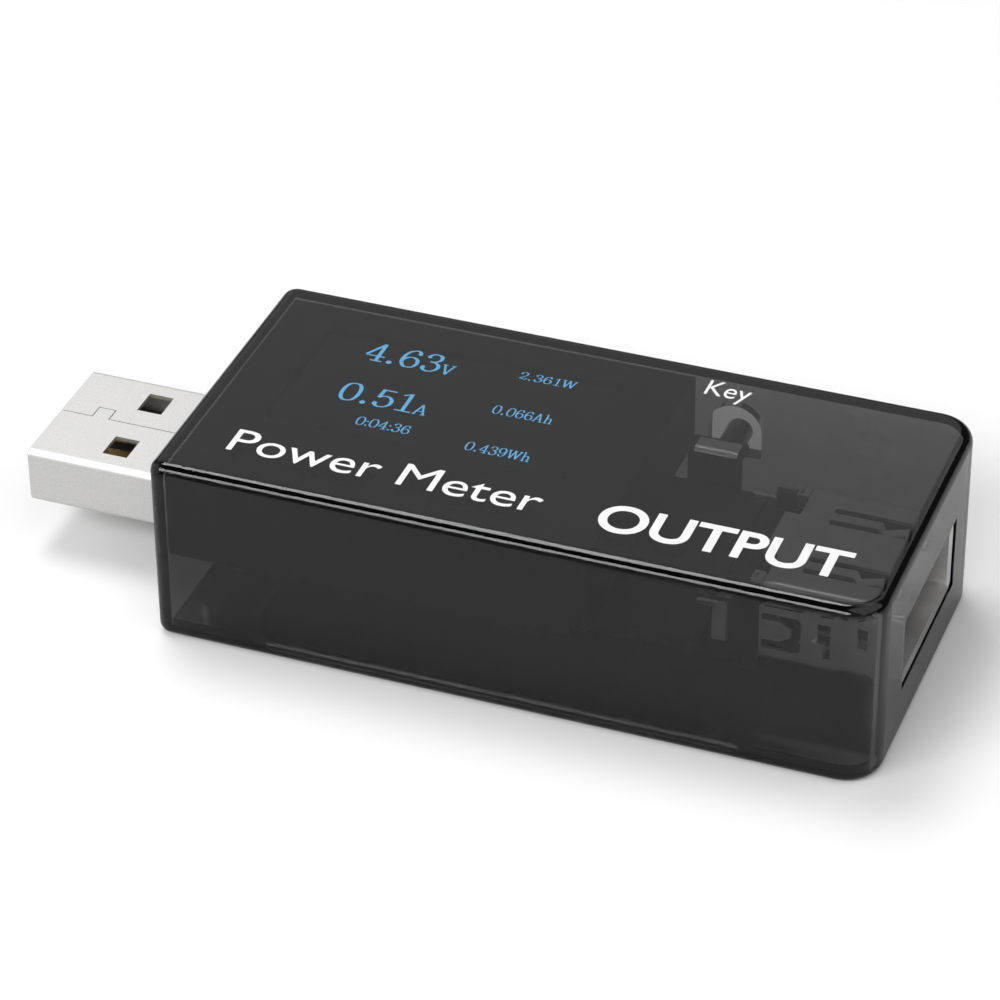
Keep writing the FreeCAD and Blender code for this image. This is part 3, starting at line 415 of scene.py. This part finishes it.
# Name, place, width, depth and power. All of them face the object's foot.
SOFTBOXES = (
    ("overhead_softbox", (-0.24, 0.17, 0.8), 0.38, 0.32, 2.7),
    ("front_softbox", (-0.2, -0.68, 0.6), 0.9, 0.3, 5.4),
    ("side_softbox", (0.55, -0.1, 0.75), 1.1, 1.1, 3.5),
)

CAMERA_PLACE = (0.0910, -0.23587, 0.18266)
CAMERA_FORWARD = (-0.28898, 0.77010, -0.56872)
CAMERA_UP = (-0.19361, 0.53478, 0.82251)
CAMERA_LENS = 149.73
CAMERA_SHIFT = (-0.012, 0.0036)


def floor():
    """A plain pale floor just under the object, a little darker in what mirrors it."""
    mesh = bpy.data.meshes.new("floor")
    corners = [(-1, -1), (1, -1), (1, 1), (-1, 1)]
    mesh.from_pydata([(x * FLOOR_SIZE, y * FLOOR_SIZE, -FLOOR_DEPTH) for x, y in corners],
                     [], [(0, 1, 2, 3)])
    material, tree, shader = new_material("floor_paper")
    # Painted shade: the floor is darker for every ray except the camera's. Its reflections, its
    # view through the case and the light it bounces are darker than the floor seen straight on.
    path = tree.nodes.new("ShaderNodeLightPath")
    tint = tree.nodes.new("ShaderNodeMix")
    tint.data_type = "RGBA"
    tint.inputs["A"].default_value = (FLOOR_MIRRORED, FLOOR_MIRRORED, FLOOR_MIRRORED, 1.0)
    tint.inputs["B"].default_value = (FLOOR_SEEN, FLOOR_SEEN, FLOOR_SEEN, 1.0)
    tree.links.new(path.outputs["Is Camera Ray"], tint.inputs["Factor"])
    tree.links.new(tint.outputs["Result"], shader.inputs["Base Color"])
    shader.inputs["Roughness"].default_value = 0.7
    shader.inputs["Specular IOR Level"].default_value = 0.0
    mesh.materials.append(material)
    plane = bpy.data.objects.new("floor", mesh)
    bpy.context.scene.collection.objects.link(plane)


def softbox(name, place, width, depth, power):
    """A rectangular area light at a place, turned towards the object's foot."""
    data = bpy.data.lights.new(name, "AREA")
    data.shape = "RECTANGLE"
    data.size = width
    data.size_y = depth
    data.energy = power
    light = bpy.data.objects.new(name, data)
    light.location = place
    light.rotation_euler = (-light.location).to_track_quat("-Z", "Y").to_euler()
    bpy.context.scene.collection.objects.link(light)


def glow_patch(tree, direction, toward, inner, outer, strength):
    """Light from a round patch of the studio: full inside one angle, none past the other."""
    dot = tree.nodes.new("ShaderNodeVectorMath")
    dot.operation = "DOT_PRODUCT"
    dot.inputs[1].default_value = Vector(toward).normalized()
    tree.links.new(direction, dot.inputs[0])
    fade = tree.nodes.new("ShaderNodeMapRange")
    fade.interpolation_type = "SMOOTHSTEP"
    fade.inputs["From Min"].default_value = math.cos(math.radians(outer))
    fade.inputs["From Max"].default_value = math.cos(math.radians(inner))
    fade.inputs["To Max"].default_value = strength
    tree.links.new(dot.outputs["Value"], fade.inputs["Value"])
    return fade.outputs["Result"]


def surroundings():
    """A dim studio with soft wall panels, shown plain white where the camera sees past it."""
    world = bpy.data.worlds.new("studio")
    world.use_nodes = True
    tree = world.node_tree
    direction = tree.nodes.new("ShaderNodeTexCoord").outputs["Generated"]
    total = None
    for patch in PANELS:
        light = glow_patch(tree, direction, *patch)
        if total is None:
            total = light
            continue
        add = tree.nodes.new("ShaderNodeMath")
        tree.links.new(total, add.inputs[0])
        tree.links.new(light, add.inputs[1])
        total = add.outputs["Value"]
    base = tree.nodes.new("ShaderNodeMath")
    base.inputs[1].default_value = WALL_LIGHT
    tree.links.new(total, base.inputs[0])
    path = tree.nodes.new("ShaderNodeLightPath")
    shown = tree.nodes.new("ShaderNodeMix")
    shown.data_type = "FLOAT"
    shown.inputs["B"].default_value = 1.0
    tree.links.new(path.outputs["Is Camera Ray"], shown.inputs["Factor"])
    tree.links.new(base.outputs["Value"], shown.inputs["A"])
    tree.links.new(shown.outputs["Result"], tree.nodes["Background"].inputs["Strength"])
    tree.nodes["Background"].inputs["Color"].default_value = (1.0, 1.0, 1.0, 1.0)
    bpy.context.scene.world = world


def camera():
    """The camera at the three-quarter view from above and in front."""
    data = bpy.data.cameras.new("camera")
    data.lens = CAMERA_LENS
    data.shift_x, data.shift_y = CAMERA_SHIFT
    data.clip_start = 0.01
    data.clip_end = 10.0
    forward = Vector(CAMERA_FORWARD).normalized()
    right = forward.cross(Vector(CAMERA_UP)).normalized()
    up = right.cross(forward)
    turn = Matrix((right, up, -forward)).transposed().to_4x4()
    eye = bpy.data.objects.new("camera", data)
    eye.matrix_world = Matrix.Translation(CAMERA_PLACE) @ turn
    bpy.context.scene.collection.objects.link(eye)
    bpy.context.scene.camera = eye


floor()
surroundings()
for row in SOFTBOXES:
    softbox(*row)
camera()
bpy.context.scene.view_settings.view_transform = "Standard"
